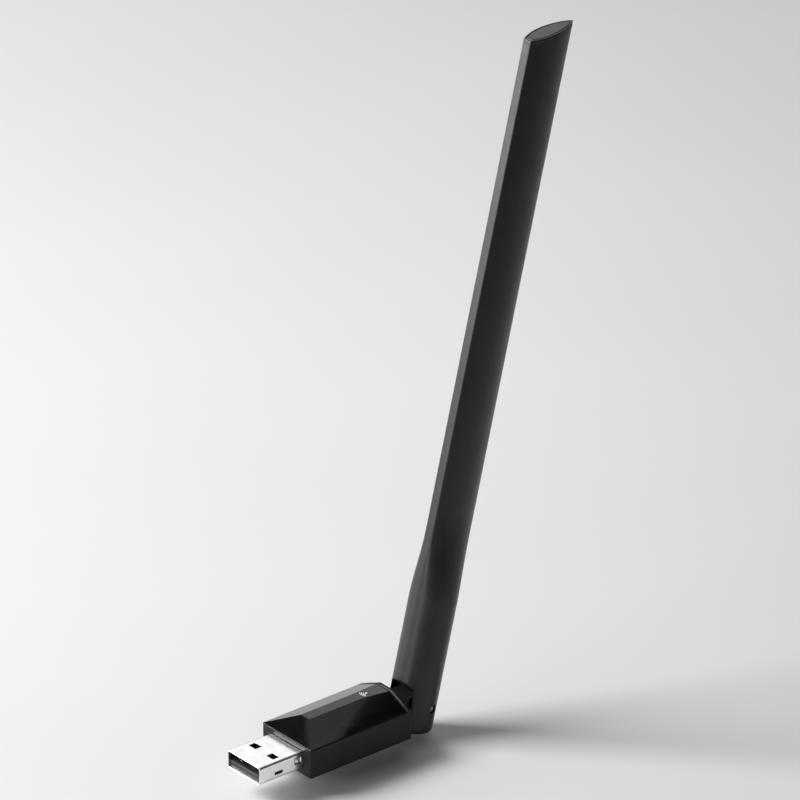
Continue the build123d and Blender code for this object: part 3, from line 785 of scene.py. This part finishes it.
def make_sleeve():
    """Antenna sleeve: forked round foot that flows into a flat blade, hollow above its root."""
    rings = []
    rounding = 0.9
    for k in range(6):
        turn = math.pi / 2 * k / 5
        rise = rounding * (1 - math.cos(turn))
        rings.append(level_ring(EAR_BOTTOM + rise, rounding * (1 - math.sin(turn))))
    steps = 18
    rings += [level_ring(ROUND_TOP + (BLADE_START - ROUND_TOP) * k / steps) for k in range(steps + 1)]
    rings += [level_ring(height) for height in (60, 75, 90, 105, 120, 135, 148, 156)]
    rings += [slanted_ring(CAP_DEPTH + drop) for drop in (3.0, 1.0, 0.06)]
    rings.append(slanted_ring(CAP_DEPTH, 0.05))
    rings.append(slanted_ring(CAP_DEPTH, SLEEVE_WALL))
    rings.append(slanted_ring(CAP_DEPTH + 3.0, SLEEVE_WALL))
    rings += [level_ring(height, SLEEVE_WALL) for height in (156, 120, 90, 60)]
    rings += [
        level_ring(BLADE_START - (BLADE_START - ROUND_TOP) * k / 9, SLEEVE_WALL) for k in range(10)
    ]
    rings.append(level_ring(ROOT_TOP, SLEEVE_WALL))
    sleeve = loft("antenna_sleeve_visual", rings, ANTENNA)

    sections = []
    for y, back_x in (
        (-SLOT_HALF, SLOT_BACK - SLOT_CHAMFER),
        (SLOT_CHAMFER - SLOT_HALF, SLOT_BACK),
        (SLOT_HALF - SLOT_CHAMFER, SLOT_BACK),
        (SLOT_HALF, SLOT_BACK - SLOT_CHAMFER),
    ):
        profile = [
            (back_x, EAR_BOTTOM - 1),
            (back_x, SLOT_TOP),
            (CHAMFER_FOOT, SLOT_TOP),
            (CHAMFER_FOOT - 3.0, SLOT_TOP + 3.0 * CHAMFER_SLOPE),
            (CHAMFER_FOOT - 4.0, EAR_BOTTOM - 1),
        ]
        sections.append([(x, y, z) for x, z in profile])
    slot = loft("fork", sections, ANTENNA)
    centre = (PIN.x, 0, PIN.z)
    bore = rod(centre, "Y", PIN_R, -ROUND_R - 1, ROUND_R + 1)
    recesses = [rod(centre, "Y", RECESS_R, side * PIN_OUTER, side * (ROUND_R + 1)) for side in (-1, 1)]
    cable = rod((cable_foot().x, 0, 0), "Z", COAX_R + 0.3, -1.0, ROOT_TOP + 1, transform=ANTENNA)
    combined(sleeve, "DIFFERENCE", slot, bore, cable, *recesses)
    bevelled(sleeve, 0.16, 42.0, 3)
    return finished(sleeve, "antenna_sleeve")


def make_cap():
    """Slanted tip cap: a rim flush with the sleeve, a fine groove, and the inlaid top face."""
    spigot = SLEEVE_WALL + 0.05
    levels = [
        (CAP_DEPTH + SPIGOT_DEPTH, spigot + 0.15),
        (CAP_DEPTH + SPIGOT_DEPTH - 0.2, spigot),
        (CAP_DEPTH, spigot),
        (CAP_DEPTH, 0.05),
        (CAP_DEPTH - 0.06, 0.0),
        (0.16, 0.0),
        (0.05, 0.05),
        (0.0, 0.16),
        (0.0, 0.40),
        (0.04, 0.45),
        (0.26, 0.48),
        (0.26, 0.60),
        (0.04, 0.64),
        (0.0, 0.70),
        (0.0, 1.1),
    ]
    cap = loft("antenna_tip_cap_visual", [slanted_ring(drop, inset) for drop, inset in levels], ANTENNA)
    return finished(cap, "antenna_tip_cap")


# ---- antenna cable -----------------------------------------------------------------------


def bend_point(share):
    """Point on the cable's bend through the hinge, from the stick at 0 to the antenna at 1."""
    turn = BEND_TURN * share
    return Vector((BEND_START + BEND_R * math.sin(turn), 0, CABLE_Z + BEND_R * (1 - math.cos(turn))))


def cable_foot():
    """Where the bend meets the antenna's straight run, in the antenna's axes."""
    return ANTENNA.inverted() @ bend_point(1.0)


def make_flex():
    """The short stretch of cable through the hinge, built in its bend at rest from the stick to the antenna.
    """
    rings = []
    steps = 20
    for k in range(steps + 1):
        turn = BEND_TURN * k / steps
        centre = bend_point(k / steps)
        out = Vector((-math.sin(turn), 0, math.cos(turn)))
        ring = []
        for j in range(24):
            around = 2 * math.pi * j / 24
            sideways = Vector((0, COAX_R * math.sin(around), 0))
            ring.append(centre + out * (COAX_R * math.cos(around)) + sideways)
        rings.append(ring)
    flex = loft("coax_flex_visual", rings)
    for polygon in flex.data.polygons:
        polygon.use_smooth = True
    flex.data.materials.append(MATERIALS[SLOT_OF["coax_flex"]])
    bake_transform(flex)
    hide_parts("coax_flex")
    return flex


# ---- the pieces ----------------------------------------------------------------------------

make_shell()
make_casing()
make_cover()
make_mark()
make_sleeve()
make_cap()
make_flex()

# Pieces whose CAD shape is right: the same shape with its edges rounded by (width, angle, segments).
ROUNDED = {
    "usb_insulator": (0.08, 30.0, 2),
    "usb_contacts": (0.06, 30.0, 2),
    "circuit_board": (0.06, 35.0, 2),
    "wifi_chip": (0.06, 30.0, 2),
    "rf_front_end": (0.05, 30.0, 2),
    "thermal_pad": (0.1, 30.0, 3),
    "shield_can": (0.06, 35.0, 2),
    "power_inductor": (0.1, 30.0, 3),
    "voltage_regulator": (0.04, 30.0, 2),
    "crystal": (0.08, 35.0, 3),
    "ceramic_capacitors": (0.06, 30.0, 3),
    "chip_resistors": (0.04, 30.0, 2),
    "rf_filter": (0.06, 30.0, 2),
    "hinge_knuckle": (0.2, 35.0, 3),
    "hinge_pins": (0.45, 35.0, 5),
    "friction_washers": (0.08, 35.0, 2),
    "coax_body": (0.04, 35.0, 2),
    "coax_clip": (0.04, 35.0, 2),
    "coax_antenna": (0.04, 35.0, 2),
    "antenna_board": (0.06, 35.0, 2),
    "antenna_elements": (0.02, 35.0, 1),
}
for node, (width, degrees, segments) in ROUNDED.items():
    finished(bevelled(from_cad(node), width, degrees, segments), node)

# ---- stage, light ----------------------------------------------------------------------------

FLOOR_Z = -8.6
FLOOR_HALF = 3000.0

floor_corners = [(x * FLOOR_HALF, y * FLOOR_HALF, FLOOR_Z) for x, y in ((-1, -1), (1, -1), (1, 1), (-1, 1))]
floor = mesh_object("floor", floor_corners, [[0, 1, 2, 3]])
paper = Finish("floor_paper", 0.75)
paper.colour(paper.mixed(paper.noise(90.0, 3.0), (0.66, 0.66, 0.67), (0.70, 0.70, 0.70)))
paper.bump(paper.noise(0.6, 3.0), 0.01, 0.5)
floor.data.materials.append(paper.material)


def softbox(name, place, target, width, height, radiance):
    """Area light at place, facing target, sizes in millimetres. Its power follows from its radiance."""
    data = bpy.data.lights.new(name, "AREA")
    data.shape = "RECTANGLE"
    data.size = width * MM
    data.size_y = height * MM
    data.energy = radiance * math.pi * width * height * MM * MM
    light = bpy.data.objects.new(name, data)
    light.location = Vector(place) * MM
    toward = (Vector(target) - Vector(place)).normalized()
    light.rotation_euler = toward.to_track_quat("-Z", "Y").to_euler()
    scene.collection.objects.link(light)
    return light


MIDDLE = (45.0, 0.0, 40.0)
softbox("key_light", (-670, 650, 910), MIDDLE, 620, 620, 17.5)
softbox("back_light", (760, 900, 620), MIDDLE, 900, 520, 1.05)
softbox("strip_light", (-560, 640, 220), (55, 0, 140), 260, 300, 13.0)
softbox("side_light", (-1000, 90, 230), (50, 0, 60), 440, 460, 4.5)

# The card whose edge shows as a straight line across the gloss cover's near facet.
CARD_Z = 300.0
card_along = Vector((0.831, 0.556, 0.0))
card_across = Vector((-0.556, 0.831, 0.0))
CARD_DEPTH = 347.0
card_centre = Vector((229.5, 35.3, CARD_Z)) + card_across * CARD_DEPTH / 2
card = softbox("card", card_centre, card_centre - Vector((0, 0, 1)), 400, CARD_DEPTH, 0.6)
card.rotation_euler = Matrix((card_along, card_across, (0, 0, 1))).transposed().to_euler()
# the antenna stands between that facet and the card, so the card's light passes it by
passed_by = bpy.data.collections.new("passed_by")
for node, body in BODY_OF.items():
    if body == "antenna":
        passed_by.objects.link(bpy.data.objects[node + "_visual"])
for entry in passed_by.collection_objects:
    entry.light_linking.link_state = "EXCLUDE"
card.light_linking.blocker_collection = passed_by

world = bpy.data.worlds.new("studio")
world.use_nodes = True
world.node_tree.nodes["Background"].inputs["Color"].default_value = (0.9, 0.95, 1.0, 1.0)
world.node_tree.nodes["Background"].inputs["Strength"].default_value = 0.07
scene.world = world
scene.view_settings.view_transform = "Standard"
scene.view_settings.look = "None"
